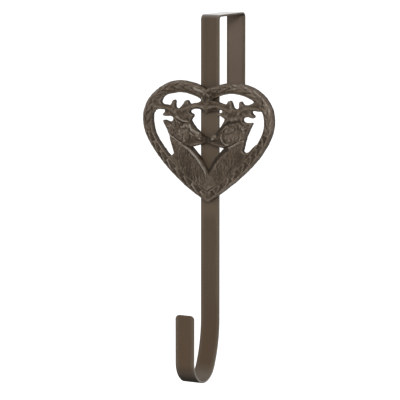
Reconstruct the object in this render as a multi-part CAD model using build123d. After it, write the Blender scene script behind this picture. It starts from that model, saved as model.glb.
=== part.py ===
from build123d import *
from math import cos, radians, sin
import os

# Over-door wreath hanger: a bent steel strap that carries a cast openwork heart with two stags.
# Frame: +Z up, the front faces -Y, X runs across the strap. The origin is the middle of the bridge's
# underside, which rests on the door's top edge. All sizes are in millimetres.

# Strap
strap_width = 20.0
strap_thickness = 2.0
door_gap = 50.0             # clear space for the door's thickness
top_bend_radius = 3.0       # inside of the two bends over the door
back_leg_drop = 74.0        # door top to the lower end of the back leg
hang_height = 348.5         # door top down to the hook's seat
hook_gap = 48.0             # clear depth of the hook
hook_bend_radius = 20.0     # inside of the bend at the hook's bottom
hook_ease = 25.0            # degrees that the strap turns in a long easy bend before the bottom bend
hook_tip_height = 66.5      # hook's seat up to the top of its tip
tip_corner = 4.0            # rounded corners of the hook's tip
leg_corner = 3.0            # rounded corners of the back leg's end
edge_break = 0.4            # bevel along the strap's long edges

# Heart casting, in its own frame: x across, y up from the lower tip, z forward from its flat back
heart_width = 141.5
heart_height = 115.7
heart_tip_drop = 178.0      # door top down to the heart's lower tip
heart_turn = 1.0            # degrees that the casting sits askew on the strap, about its middle
rim_width = 8.6
rim_thickness = 7.2
rim_outer_slope = 1.0       # plain sloping outer edge of the rim, across and down
rim_inner_slope = 0.8       # sloping inner edge
rim_band = 2.6              # plain outer band of the rim's face
rim_ridge = 1.4             # ridge along the rim's inner edge
rim_ground = 6.2            # height of the sunk ground between band and ridge
rim_ground_slope = 0.4      # sides of the sunk ground, across
web_thickness = 6.0         # flat web that joins the stags
relief_slope = 1.1          # sloping edge round the raised heads
head_height = 7.4
neck_height = 8.4           # along the crown of the neck
neck_round = 42.0           # radius of the neck's crown
bud_height = 7.9            # raised bud where the two lobes meet
cheek_radius = 9.0
cheek_rise = 1.3
eye_radius = 1.8
eye_rise = 0.9
antler_half_width = 2.3     # raised crown of a beam
antler_height = 7.4
palm_step = 1.7             # short straight edges round the antlers' palms
leaf_count = 17             # leaves on each side of the heart
leaf_length = 12.0          # along the rim
leaf_width = 3.8
leaf_rise = 1.9             # above the sunk ground
leaf_foot = 2.8             # leaf's foot in from the outline
leaf_point = 7.0            # leaf's point in from the outline
leaf_belly = 0.45           # widest and highest place of a leaf, as a share of its length
leaf_sink = 0.5             # leaf's rim below the sunk ground

# Countersunk screws that hold the casting from behind
screw_diameter = 3.0
screw_bite = 4.0            # length inside the casting
screw_head_diameter = 5.5
screw_head_land = 0.3       # straight edge of the head
screw_sink = 0.1            # head below the strap's back face
screw_slot_width = 0.8
screw_slot_depth = 0.6
screw_clearance = 0.1       # all round the screw
hole_end_room = 0.4         # beyond the screw's point
upper_screw_rise = 101.0    # heart's tip up to the upper screw, on the drawing
lower_screw_rise = 20.0     # heart's tip up to the lower screw, on the drawing

# Worked-out places
strap_back = -door_gap / 2
strap_front = strap_back - strap_thickness
screw_length = strap_thickness + screw_bite
stretch_x = heart_width / 141.5     # the heart is drawn 141.5 wide and 115.7 high
stretch_y = heart_height / 115.7


def at(x, y):
    """A point of the heart's drawing at the casting's real size."""
    return (x * stretch_x, y * stretch_y)


def strap_path():
    """Middle line of the strap in the side view: back leg, bridge, front, easy bend, hook and tip."""
    leg_y = door_gap / 2 + strap_thickness / 2
    bridge_z = strap_thickness / 2
    top_radius = top_bend_radius + strap_thickness / 2
    hook_radius = hook_bend_radius + strap_thickness / 2
    ease = radians(hook_ease)
    ease_radius = (hook_gap + strap_thickness - hook_radius * (1 + cos(ease))) / (1 - cos(ease))
    hook_low = -hang_height - strap_thickness / 2
    ease_start = hook_low + ease_radius * sin(ease) + hook_radius * (1 - sin(ease))

    back_leg = Line((leg_y, -back_leg_drop), (leg_y, bridge_z - top_radius))
    back_bend = JernArc(back_leg @ 1, back_leg % 1, top_radius, 90)
    bridge = Line(back_bend @ 1, (top_radius - leg_y, bridge_z))
    front_bend = JernArc(bridge @ 1, bridge % 1, top_radius, 90)
    front = Line(front_bend @ 1, (-leg_y, ease_start))
    ease_bend = JernArc(front @ 1, front % 1, ease_radius, -hook_ease)
    hook_bend = JernArc(ease_bend @ 1, ease_bend % 1, hook_radius, hook_ease - 180)
    tip = Line(hook_bend @ 1, ((hook_bend @ 1).X, hook_tip_height - hang_height))
    return Curve() + [back_leg, back_bend, bridge, front_bend, front, ease_bend, hook_bend, tip]


def screw_shape(room, length):
    """Countersunk screw, larger by room all round: its head's face near z = 0, its point along +z."""
    head = screw_head_diameter / 2 + room
    shank = screw_diameter / 2 + room
    top = screw_sink - room
    cone_start = screw_sink + screw_head_land
    cone_end = cone_start + head - shank
    side = Polyline(
        (0, top), (head, top), (head, cone_start), (shank, cone_end), (shank, length), (0, length),
        close=True,
    )
    return revolve(Plane.XZ * make_face(side), Axis.Z)


def screw_frames():
    """The two screws' places: on the strap's back face, pointing forward into the casting."""
    rises = (upper_screw_rise, lower_screw_rise)
    places = [(0, strap_back, rise * stretch_y - heart_tip_drop) for rise in rises]
    return [Plane(origin=place, x_dir=(1, 0, 0), z_dir=(0, -1, 0)) for place in places]


def screw_holes():
    """Room for the screws, through the strap and into the casting."""
    hole = screw_shape(screw_clearance, screw_length + hole_end_room)
    return [frame * hole for frame in screw_frames()]


def make_screws():
    """Two slotted countersunk screws."""
    screw = screw_shape(0, screw_length)
    slot_middle = screw_sink + screw_slot_depth / 2
    screw -= Pos(0, 0, slot_middle) * Box(screw_head_diameter * 2, screw_slot_width, screw_slot_depth)
    return Compound(children=[frame * screw for frame in screw_frames()])


def make_strap():
    """Flat bar bent along its path, with rounded ends, softened long edges and the screws' countersinks."""
    profile = trace(strap_path(), strap_thickness)
    strap = extrude(Plane.YZ * profile, strap_width / 2, both=True)
    across = strap.edges().filter_by(Axis.Y)
    tip_edges = across.filter_by(lambda edge: edge.center().Y < strap_front)
    leg_edges = across.filter_by(lambda edge: edge.center().Z < -back_leg_drop / 2 and edge.center().Y > 0)
    strap = fillet(tip_edges, tip_corner)
    leg_spots = [edge.center() for edge in leg_edges]
    leg_edges = [strap.edges().sort_by_distance(spot)[0] for spot in leg_spots]
    strap = fillet(leg_edges, leg_corner)
    side_loops = [strap.faces().sort_by(Axis.X)[end].outer_wire() for end in (0, -1)]
    strap = chamfer([edge for loop in side_loops for edge in loop.edges()], edge_break)
    return strap - screw_holes()


def heart_side():
    """Right-hand half of the heart's outline as tangent arcs, from the cleft over the lobe to the tip."""
    arcs = [ThreePointArc(at(0, 108.7), at(27, 115.7), at(50.5, 110.5))]
    for corner in (at(70.75, 79.5), at(65.75, 60), at(48.75, 37.7), at(0, 0)):
        arcs.append(TangentArc(arcs[-1] @ 1, corner, tangent=arcs[-1] % 1))
    return arcs


def inward_of(heading):
    """Direction into the heart, at right angles to a heading along its right-hand side."""
    return Vector(heading.Y, -heading.X)


def make_rim():
    """Right-hand half of the rim: its section swept along the outline, past the middle at both ends."""
    arcs = heart_side()
    lead = Line(arcs[0] @ 0 - (arcs[0] % 0) * rim_width * 1.3, arcs[0] @ 0)
    tail = Line(arcs[-1] @ 1, arcs[-1] @ 1 + (arcs[-1] % 1) * rim_width * 1.3)
    heading = lead % 0
    frame = Plane(origin=lead @ 0, x_dir=inward_of(heading), z_dir=-heading)
    section = Polyline(
        (0, 0),
        (0, rim_thickness - rim_outer_slope),
        (rim_outer_slope, rim_thickness),
        (rim_band, rim_thickness),
        (rim_band + rim_ground_slope, rim_ground),
        (rim_width - rim_ridge - rim_ground_slope, rim_ground),
        (rim_width - rim_ridge, rim_thickness),
        (rim_width - rim_inner_slope, rim_thickness),
        (rim_width, rim_thickness - rim_inner_slope),
        (rim_width, 0),
        close=True,
    )
    return sweep(frame * make_face(section), Wire([lead, *arcs, tail]))


def make_leaf(foot, point):
    """One pointed leaf with a ridge: a lozenge sunk in the rim's ground that rises to one high point."""
    heading = (point - foot).normalized()
    across = Vector(-heading.Y, heading.X) * (leaf_width / 2)
    belly = foot + (point - foot) * leaf_belly
    lozenge = make_face(Polyline(foot, belly + across, point, belly - across, close=True))
    top = Vertex(belly.X, belly.Y, leaf_sink + leaf_rise)
    return Pos(0, 0, rim_ground - leaf_sink) * loft([lozenge, top], ruled=True)


def make_garland():
    """Leaves up the rim from tip to cleft, each slanting inward from the plain band to the ridge."""
    side = Wire(heart_side())
    leaf_share = leaf_length / side.length
    leaves = []
    for number in range(leaf_count):
        foot_place = 1 - number / leaf_count
        point_place = max(foot_place - leaf_share, 0)
        foot = side @ foot_place + inward_of(side % foot_place) * leaf_foot
        point = side @ point_place + inward_of(side % point_place) * leaf_point
        leaves.append(make_leaf(foot, point))
    return leaves


def rib_section(place, heading, half_width, height):
    """Half-round section of a rib across its heading, with a flat base."""
    shares = ((-1, 0), (-1, 0.45), (-0.7, 0.82), (-0.28, 1), (0.28, 1), (0.7, 0.82), (1, 0.45), (1, 0))
    corners = [(across * half_width, up * height) for across, up in shares]
    frame = Plane(origin=place, x_dir=(-heading.Y, heading.X, 0), z_dir=heading)
    return frame * make_face(Polyline(*corners, close=True))


def rib(start, end, half_widths, heights):
    """Straight rib that tapers from its first half width and height to its last."""
    first = Vector(*at(*start))
    last = Vector(*at(*end))
    heading = (last - first).normalized()
    root_section = rib_section(first, heading, half_widths[0], heights[0])
    point_section = rib_section(last, heading, half_widths[1], heights[1])
    return loft([root_section, point_section], ruled=True)


def beam(root, middle, bend, end):
    """Antler beam along two arcs that run smoothly into each other."""
    rise = ThreePointArc(at(*root), at(*middle), at(*bend))
    run = TangentArc(rise @ 1, at(*end), tangent=rise % 1)
    return sweep(rib_section(rise @ 0, rise % 0, antler_half_width, antler_height), Wire([rise, run]))


def short_steps(points):
    """Even short steps along the smooth curve through these points of the drawing."""
    curve = Spline(*[at(*point) for point in points])
    count = round(curve.length / palm_step)
    return [curve @ (step / count) for step in range(count + 1)]


def make_antlers(top, inner, outer, beam_root, beam_lift, tines):
    """One stag's antlers: a flat palm inside three drawn edges, with crowned beams and tines on it."""
    outline = Polyline(*short_steps(top), *short_steps(inner), *short_steps(outer), close=True)
    palm = extrude(make_face(outline), web_thickness)
    beam_ends = ((41.5, 90.2 + beam_lift), (49, 91.2 + beam_lift), (58, 91.2))
    tine_heights = (antler_height, antler_height * 0.7)
    crowns = [rib(root, point, half_widths, tine_heights) for root, point, half_widths in tines]
    return [palm, beam(beam_root, *beam_ends), beam((27.5, 87.5), (20, 91), (10, 92.6), (-2, 91)), *crowns]


def right_antlers():
    """Antlers of the right-hand stag."""
    top = [
        (58, 97.5), (49.5, 96.5), (43, 94.3), (40, 94.5), (38, 96), (36.5, 98.3), (35.4, 97.2),
        (35.4, 94.5), (34.8, 91.4), (31.8, 90), (29, 91.2), (27.4, 94), (26.3, 97.2), (24.6, 98.8),
        (23.2, 97.3), (22, 95.2), (18, 94.7), (12, 96.6), (5, 98), (-1, 98),
    ]
    inner = [
        (-1, 87.8), (5, 88.8), (12, 88.9), (16, 89.6), (17.6, 88.3), (16, 86.6), (11, 85.6), (15, 83.5),
        (20.2, 78),
    ]
    outer = [
        (40.5, 77.5), (38.2, 79.8), (38.6, 82), (42, 83.4), (46.5, 83.4), (50.4, 82.6), (51.3, 84.2),
        (48.2, 86.5), (48, 88.7), (52, 90.2), (57, 90.8), (62, 86),
    ]
    tines = [
        ((37.5, 89), (36.4, 96.8), (2.6, 0.7)),
        ((27.2, 89), (24.7, 97.2), (2.2, 1.2)),
        ((40, 86.4), (49.6, 84), (3.0, 1.0)),
        ((23, 83.2), (13.6, 85), (3.2, 0.9)),
    ]
    return make_antlers(top, inner, outer, (34.5, 85.6), 0.9, tines)


def left_antlers():
    """Antlers of the left-hand stag, drawn as the mirror of their place."""
    top = [
        (58, 95), (50, 93.3), (43.5, 91.6), (40.2, 92.5), (38.2, 95), (36.4, 98), (35.4, 96.8),
        (35.6, 93), (34.8, 90), (31.8, 88.9), (28.6, 91), (25.2, 94.9), (22.2, 97.8), (20.7, 96.4),
        (19.6, 94.2), (15, 94.8), (10, 95.6), (5, 98), (-1, 98),
    ]
    inner = [
        (-1, 87.8), (5, 89.4), (11, 89.9), (16.5, 89), (19.8, 86.8), (18, 84.9), (15.2, 83.9),
        (16.4, 81.4), (18.8, 77.5),
    ]
    outer = [
        (38.5, 76), (36.3, 78.6), (37.6, 81.2), (41, 82.2), (47, 81.9), (49.2, 83.2), (45.7, 86.3),
        (46.8, 88.6), (51, 89.2), (57, 87.2), (62, 84),
    ]
    tines = [
        ((38, 88), (36.4, 96.6), (2.6, 0.7)),
        ((26.4, 88), (22.4, 96.4), (2.8, 1.4)),
        ((40, 85.4), (47.6, 83), (3.0, 0.9)),
        ((23.5, 83), (16.4, 83.6), (3.4, 0.9)),
    ]
    return make_antlers(top, inner, outer, (34.5, 85.2), -0.8, tines)


def make_web(ear_dip):
    """Flat web under a stag: neck, ear, skull, muzzle and chest, down into the rim."""
    neck_back = Spline(
        at(45.6, 44.4), at(40, 43.3), at(36.3, 46.6), at(38.3, 54.3), at(41.2, 63), at(43.5, 68.5)
    )
    ear_back = Line(at(43.5, 68.5), at(48.8, 78))
    ear_top = Spline(at(48.8, 78), at(*ear_dip), at(37, 77.5))
    skull = Polyline(at(37, 77.5), at(36, 84), at(28, 86), at(20, 82), at(18.2, 77))
    nose = Spline(at(18.2, 77), at(14.8, 72), at(8, 66), at(0, 62))
    lips = Line(at(0, 62), at(0, 57.4))
    jaw = Spline(at(0, 57.4), at(7, 55.8), at(19, 52.7))
    chest = Spline(at(19, 52.7), at(11, 44.8), at(5.8, 38), at(0, 27.6))
    foot = Polyline(at(0, 27.6), at(0, 6), at(34, 31), at(45.6, 44.4))
    outline = [neck_back, ear_back, ear_top, skull, nose, lips, jaw, chest, foot]
    return extrude(make_face(outline), web_thickness)


def make_lobe_web(corner, corner_end):
    """Web in the top of the lobe: widens the rim towards the cleft and rounds the corner over the beam."""
    opening = Spline(
        at(2.5, 94), at(7, 99.4), at(16, 103.2), at(27, 105.1), at(40, 103.4), at(48, 100.4), at(*corner),
        at(*corner_end),
    )
    rest = Polyline(
        at(*corner_end), at(58, 89), at(66, 90), at(60, 102), at(48, 109), at(28, 112), at(0, 104),
        at(0, 91), at(2.5, 94),
    )
    return extrude(make_face([opening, rest]), web_thickness)


def raised(points, height):
    """Raised area with a sloping edge all round."""
    pad = extrude(make_face(Polyline(*points, close=True)), height)
    return chamfer(pad.faces().sort_by(Axis.Z)[-1].edges(), relief_slope)


def make_neck():
    """Neck and chest, crowned along a line from the jaw to the point of the chest."""
    outline = make_face(Polyline(
        at(18.4, 51.2), at(10.9, 44), at(5.6, 37.2), at(0, 26.9), at(0, 11), at(20, 24.5), at(34, 38.5),
        at(37.5, 50), at(40.5, 61.5), at(33, 58), at(25, 54), close=True,
    ))
    jaw_end = Vector(*at(29, 62), neck_height - neck_round)
    chest_end = Vector(*at(2, 22), neck_height - neck_round)
    crown_line = chest_end - jaw_end
    crown_frame = Plane(origin=(jaw_end + chest_end) / 2, z_dir=crown_line)
    crown = crown_frame * Cylinder(neck_round, crown_line.length * 3)
    return extrude(outline, neck_height) & crown


def make_head():
    """Raised head with a round cheek, a ridge down the muzzle, lower jaw, nose, eye and ear."""
    skull = raised(
        [at(18, 53.4), at(1, 57.6), at(1, 61.8), at(8.3, 66.2), at(15.8, 72.7), at(20.3, 78.5), at(26, 84),
         at(34, 83), at(38, 76), at(42.5, 69), at(40.5, 62.5), at(30, 57)],
        head_height,
    )
    cheek_ball = (cheek_radius**2 + cheek_rise**2) / (2 * cheek_rise)
    cheek_place = at(27, 65.5)
    cheek_disc = Pos(*cheek_place, head_height) * Cylinder(cheek_radius, 2 * cheek_rise)
    cheek = cheek_disc & Pos(*cheek_place, head_height + cheek_rise - cheek_ball) * Sphere(cheek_ball)
    muzzle = rib((23, 74.8), (5.5, 60.6), (2.2, 1.9), (head_height + 1.3, head_height + 0.8))
    lower_jaw = rib((15.5, 56.5), (3, 58.9), (1.9, 1.5), (head_height + 0.7, head_height + 0.4))
    nose = rib((6, 59.7), (0.6, 59.7), (2.3, 2.0), (head_height + 0.9, head_height + 0.5))
    ear = rib((39.5, 72), (47.9, 77.2), (3.2, 0.6), (head_height + 1.2, web_thickness))
    eye = Pos(*at(24, 72.5), head_height) * Cone(eye_radius, eye_radius / 2, 2 * eye_rise)
    return [skull, cheek, muzzle, lower_jaw, nose, ear, eye]


def make_bud():
    """Raised bud in the cleft that joins the rim to the antlers."""
    return raised([at(0, 106.5), at(6.5, 103.5), at(3, 95.5), at(0, 91)], bud_height)


def make_fuller_corner():
    """Corner between the right-hand neck and the rim, which is filled higher than the left-hand one."""
    outline = Polyline(
        at(35.5, 41), at(37.2, 50.6), at(38.8, 49), at(41.2, 48.3), at(44.6, 49.4), at(48.6, 52.9),
        at(53.6, 57.8), at(56, 56), at(50, 46), at(46, 41),
        close=True,
    )
    return extrude(make_face(outline), web_thickness)


def make_half(antlers, ear_dip, lobe_corner, lobe_corner_end):
    """One half of the casting, drawn on the right: its rim, its stag and its part of the cleft."""
    right_side = Pos(heart_width / 2, heart_height / 2, bud_height)
    right_side *= Box(heart_width, heart_height * 2, bud_height * 2)
    stag = make_web(ear_dip) + make_neck() + make_head() + antlers
    frame = make_rim() + make_garland() + make_lobe_web(lobe_corner, lobe_corner_end) + make_bud()
    return (frame + stag) & right_side


def make_casting():
    """Whole casting: the two halves, whose antlers differ, with the screws' blind holes in the back."""
    right = make_half(right_antlers(), (43, 77.4), (51.2, 98.2), (48, 95.9)) + make_fuller_corner()
    left = mirror(make_half(left_antlers(), (43, 75.4), (51, 95), (48, 92.6)), Plane.YZ)
    middle = heart_height / 2
    frame = Plane(origin=(0, strap_front, middle - heart_tip_drop), x_dir=(1, 0, 0), z_dir=(0, -1, 0))
    casting = frame * Rot(0, 0, heart_turn) * Pos(0, -middle, 0) * (right + left)
    return casting - screw_holes()


def main():
    os.makedirs("parts", exist_ok=True)
    pieces = {"strap": make_strap(), "heart_casting": make_casting(), "back_screws": make_screws()}
    for name, piece in pieces.items():
        print(name, len(piece.solids()), round(piece.volume, 1))
        export_step(piece, f"parts/{name}.step")


main()
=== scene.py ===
# %% [markdown]
# # A wreath hanger for a door
#
# The hanger is a flat steel strap that is bent over the top of a door, runs down its front and ends in
# an open hook. On its front sits a cast iron heart: two stags stand muzzle to muzzle inside a rim of
# leaves. Strap and heart carry the same dull brown finish.
#
# The CAD model already has the real shapes and sizes. This script loads it as a fixed frame, and then
# adds what a CAD model leaves out: the soft skin of the casting, the stags' hair, the finish, the light.

# %% Load the CAD model
import math

import bmesh
import bpy
import numpy as np
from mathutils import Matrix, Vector, noise


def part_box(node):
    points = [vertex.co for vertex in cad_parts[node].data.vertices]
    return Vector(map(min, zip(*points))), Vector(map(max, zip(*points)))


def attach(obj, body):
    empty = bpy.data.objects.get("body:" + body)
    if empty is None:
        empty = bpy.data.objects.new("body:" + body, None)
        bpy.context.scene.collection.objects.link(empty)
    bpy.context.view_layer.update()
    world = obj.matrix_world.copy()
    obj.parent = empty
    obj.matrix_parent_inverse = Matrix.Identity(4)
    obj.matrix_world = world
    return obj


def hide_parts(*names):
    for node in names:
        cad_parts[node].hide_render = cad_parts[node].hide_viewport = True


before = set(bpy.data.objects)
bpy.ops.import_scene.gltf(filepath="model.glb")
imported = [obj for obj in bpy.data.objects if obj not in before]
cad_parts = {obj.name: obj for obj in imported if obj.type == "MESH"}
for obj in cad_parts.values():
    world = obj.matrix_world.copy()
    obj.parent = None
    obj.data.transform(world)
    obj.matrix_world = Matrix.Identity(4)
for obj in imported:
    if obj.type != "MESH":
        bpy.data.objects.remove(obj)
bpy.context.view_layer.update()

MM = 0.001
print("CAD nodes:", sorted(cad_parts))

# %% [markdown]
# ## Camera
#
# The picture is taken from the hanger's right and a little from above, with a long lens: the front strap
# and the short back leg look almost equally wide. A camera can be placed by eye, but here its angle, its
# distance and its lens come from lining up the strap's corners, so every piece lands where it should.

# %% Camera
view_azimuth = math.radians(29.09)
view_elevation = math.radians(7.86)
view_distance = 2.545
view_target = Vector((-25.8, 0.0, -181.7)) * MM
camera_lens = 234.0

toward_camera = Vector((
    math.sin(view_azimuth) * math.cos(view_elevation),
    -math.cos(view_azimuth) * math.cos(view_elevation),
    math.sin(view_elevation),
))
camera_data = bpy.data.cameras.new("camera")
camera_data.lens = camera_lens
camera_data.sensor_width = 36.0
camera = bpy.data.objects.new("camera", camera_data)
camera.location = view_target + toward_camera * view_distance
camera.rotation_euler = (-toward_camera).to_track_quat("-Z", "Y").to_euler()
bpy.context.scene.collection.objects.link(camera)
bpy.context.scene.camera = camera
print("camera at", [round(value, 4) for value in camera.location])

# %% [markdown]
# ## Nodes in few words
#
# A material in Blender is a small network of nodes. A few helpers keep that network readable: they add a
# node and set its values, join two sockets, start a node group or a material, blend two colours, map one
# span of values onto another, and put two values through one step of arithmetic.

# %% Helpers for shader nodes
def add_node(tree, kind, settings=None, inputs=None):
    """A new node with its settings made and its unlinked sockets filled, by socket name or number."""
    node = tree.nodes.new(kind)
    for name, value in (settings or {}).items():
        setattr(node, name, value)
    for name, value in (inputs or {}).items():
        node.inputs[name].default_value = value
    return node


def join(tree, source, target):
    """Link from an output socket to an input socket."""
    tree.links.new(source, target)


def new_group(name, inputs, outputs):
    """An empty shader node group with float inputs and outputs of these names."""
    tree = bpy.data.node_groups.new(name, "ShaderNodeTree")
    for socket, value in inputs.items():
        made = tree.interface.new_socket(socket, in_out="INPUT", socket_type="NodeSocketFloat")
        made.default_value = value
    for socket in outputs:
        tree.interface.new_socket(socket, in_out="OUTPUT", socket_type="NodeSocketFloat")
    return tree, tree.nodes.new("NodeGroupInput"), tree.nodes.new("NodeGroupOutput")


def new_material(name):
    """A material with an empty node tree, its Principled BSDF and its output already joined."""
    material = bpy.data.materials.new(name)
    material.use_nodes = True
    tree = material.node_tree
    tree.nodes.clear()
    shader = tree.nodes.new("ShaderNodeBsdfPrincipled")
    output = tree.nodes.new("ShaderNodeOutputMaterial")
    join(tree, shader.outputs["BSDF"], output.inputs["Surface"])
    return material, tree, shader


def mix_colours(tree, share, first, second):
    """A node that blends two colours by a share; each colour is a socket or four numbers."""
    node = add_node(tree, "ShaderNodeMix", {"data_type": "RGBA"})
    join(tree, share, node.inputs["Factor"])
    for socket, colour in ((node.inputs[6], first), (node.inputs[7], second)):
        if isinstance(colour, bpy.types.NodeSocket):
            join(tree, colour, socket)
        else:
            socket.default_value = colour
    return node.outputs[2]


def ramp(tree, value, low, high, to_low=0.0, to_high=1.0):
    """A node that maps the span low to high onto to_low to to_high, and clamps outside it."""
    inputs = {"From Min": low, "From Max": high, "To Min": to_low, "To Max": to_high}
    node = add_node(tree, "ShaderNodeMapRange", {"clamp": True}, inputs)
    join(tree, value, node.inputs["Value"])
    return node.outputs["Result"]


def combine(tree, operation, first, second):
    """Two values put through one step of arithmetic, such as MULTIPLY or MAXIMUM."""
    node = add_node(tree, "ShaderNodeMath", {"operation": operation})
    join(tree, first, node.inputs[0])
    join(tree, second, node.inputs[1])
    return node.outputs[0]

# %% [markdown]
# ## Floor, backdrop and light
#
# The hanger was photographed hanging free in front of white. A pale floor lies below it and catches its
# shadow. Floor and backdrop ask Light Path how a ray got to them: the camera sees them white, and so do
# rays that are mirrored or pass through something clear. All other light finds them pale grey, so they
# don't flood the object. A soft lamp stands high at the front right, a wider and weaker one at the left.

# %% Floor and backdrop
floor_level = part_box("strap")[0][2] - 100 * MM
floor_half = 30.0
floor_colour = (0.6, 0.6, 0.6, 1)
floor_glow_strength = 0.85
white = (1, 1, 1, 1)

bpy.ops.mesh.primitive_plane_add(size=2 * floor_half, location=(0, 0, floor_level))
floor = bpy.context.object
floor.name = "floor"


def seen_directly(tree):
    """1 for rays from the camera, from mirroring surfaces and through clear ones, 0 for all other light."""
    path = tree.nodes.new("ShaderNodeLightPath")
    seen_or_glossy = combine(tree, "MAXIMUM", path.outputs["Is Camera Ray"], path.outputs["Is Glossy Ray"])
    return combine(tree, "MAXIMUM", seen_or_glossy, path.outputs["Is Transmission Ray"])


floor_paint = bpy.data.materials.new("floor_paint")
floor_paint.use_nodes = True
floor_tree = floor_paint.node_tree
floor_tree.nodes.clear()
floor_diffuse = add_node(floor_tree, "ShaderNodeBsdfDiffuse", inputs={"Color": floor_colour})
glow_inputs = {"Color": white, "Strength": floor_glow_strength}
floor_glow = add_node(floor_tree, "ShaderNodeEmission", inputs=glow_inputs)
floor_both = floor_tree.nodes.new("ShaderNodeAddShader")
floor_choice = floor_tree.nodes.new("ShaderNodeMixShader")
floor_output = floor_tree.nodes.new("ShaderNodeOutputMaterial")
join(floor_tree, floor_diffuse.outputs[0], floor_both.inputs[0])
join(floor_tree, floor_glow.outputs[0], floor_both.inputs[1])
join(floor_tree, seen_directly(floor_tree), floor_choice.inputs["Fac"])
join(floor_tree, floor_diffuse.outputs[0], floor_choice.inputs[1])
join(floor_tree, floor_both.outputs[0], floor_choice.inputs[2])
join(floor_tree, floor_choice.outputs[0], floor_output.inputs["Surface"])
floor.data.materials.append(floor_paint)

world = bpy.data.worlds.new("studio")
bpy.context.scene.world = world
world.use_nodes = True
world_tree = world.node_tree
world_tree.nodes.clear()
world_fill = 0.58
world_strength = ramp(world_tree, seen_directly(world_tree), 0, 1, world_fill, 1.0)
world_background = add_node(world_tree, "ShaderNodeBackground", inputs={"Color": white})
world_output = world_tree.nodes.new("ShaderNodeOutputWorld")
join(world_tree, world_strength, world_background.inputs["Strength"])
join(world_tree, world_background.outputs[0], world_output.inputs["Surface"])
bpy.context.scene.view_settings.view_transform = "Standard"
print("floor at", round(floor_level, 4))

# %% Lamps
def soft_lamp(name, place, aim, width, watts):
    """Add a square area lamp that stands at place and shines at aim."""
    lamp_data = bpy.data.lights.new(name, "AREA")
    lamp_data.shape = "SQUARE"
    lamp_data.size = width
    lamp_data.energy = watts
    lamp = bpy.data.objects.new(name, lamp_data)
    lamp.location = place
    lamp.rotation_euler = (Vector(aim) - Vector(place)).to_track_quat("-Z", "Y").to_euler()
    bpy.context.scene.collection.objects.link(lamp)


lamp_aim = (0, 0, -0.15)
key_place = (1.07, -1.93, 0.79)
key_watts = 28
fill_place = (-1.6, -1.2, 0.5)
fill_watts = 4
soft_lamp("key_lamp", key_place, lamp_aim, 0.6, key_watts)
soft_lamp("fill_lamp", fill_place, lamp_aim, 1.4, fill_watts)
print("lamps:", [lamp.name for lamp in bpy.data.lights])

# %% [markdown]
# ## Finish shared by strap and heart
#
# Both pieces have a sprayed or powdered coat: it is never quite even. Fine grain breaks up the highlight,
# slow mottle shifts the tone, and edges that hands and doors rub against wear lighter. Each effect is a
# node group, so that strap, heart and screws use the same recipe with their own numbers.

# %% Node group: grain and mottle
grain_group, grain_in, grain_out = new_group(
    "grain_and_mottle", {"Grain Scale": 2500.0, "Mottle Scale": 60.0}, ("Grain", "Mottle")
)
grain_place = grain_group.nodes.new("ShaderNodeTexCoord")
grain_noise = add_node(grain_group, "ShaderNodeTexNoise", inputs={"Detail": 3.0, "Roughness": 0.6})
mottle_noise = add_node(grain_group, "ShaderNodeTexNoise", inputs={"Detail": 4.0, "Roughness": 0.55})
for texture, scale in ((grain_noise, "Grain Scale"), (mottle_noise, "Mottle Scale")):
    join(grain_group, grain_place.outputs["Object"], texture.inputs["Vector"])
    join(grain_group, grain_in.outputs[scale], texture.inputs["Scale"])
join(grain_group, grain_noise.outputs["Fac"], grain_out.inputs["Grain"])
join(grain_group, ramp(grain_group, mottle_noise.outputs["Fac"], 0.3, 0.7), grain_out.inputs["Mottle"])

# %% Node group: rubbed edges
rub_group, rub_in, rub_out = new_group(
    "rubbed_edges", {"Edge": 0.0, "Mottle": 0.5, "Raggedness": 0.4}, ("Rubbed",)
)
rub_shift = add_node(rub_group, "ShaderNodeMath", {"operation": "SUBTRACT"}, {1: 0.5})
rub_sum = add_node(rub_group, "ShaderNodeMath", {"operation": "ADD", "use_clamp": True})
join(rub_group, rub_in.outputs["Mottle"], rub_shift.inputs[0])
rub_scaled = combine(rub_group, "MULTIPLY", rub_shift.outputs[0], rub_in.outputs["Raggedness"])
join(rub_group, rub_scaled, rub_sum.inputs[0])
join(rub_group, rub_in.outputs["Edge"], rub_sum.inputs[1])
join(rub_group, ramp(rub_group, rub_sum.outputs[0], 0.35, 0.9), rub_out.inputs["Rubbed"])
print("node groups:", [group.name for group in bpy.data.node_groups])


def place_group(tree, group, values):
    """A node of this group in a material, with its own values."""
    node = tree.nodes.new("ShaderNodeGroup")
    node.node_tree = group
    for name, value in values.items():
        node.inputs[name].default_value = value
    return node

# %% [markdown]
# ## The strap's brown coat
#
# The strap keeps its CAD shape: a bent flat bar has no more form than that. Its coat is satin brown with
# faint streaks along the bar, as rolled steel has. The bar lies in the plane of Y and Z all the way round
# its bends, so a noise that is fine along X and very slow along Y and Z gives streaks that follow every
# bend, with no unwrapping. The distance from the middle, along X, finds the long edges, which are rubbed
# paler.

# %% Strap material: streaks, mottle and long edges
dark_streak = (0.061, 0.0425, 0.027, 1)
light_streak = (0.087, 0.0615, 0.0405, 1)
mottle_tone = (0.075, 0.0525, 0.034, 1)
streak_scale = (420.0, 7.0, 7.0)
edge_reach = 6 * MM
edge_margin = 0.5 * MM

strap_paint, paint_tree, paint_shader = new_material("strap_paint")
paint_grain = place_group(paint_tree, grain_group, {"Grain Scale": 2200.0, "Mottle Scale": 45.0})
paint_mottle = paint_grain.outputs["Mottle"]

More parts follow.
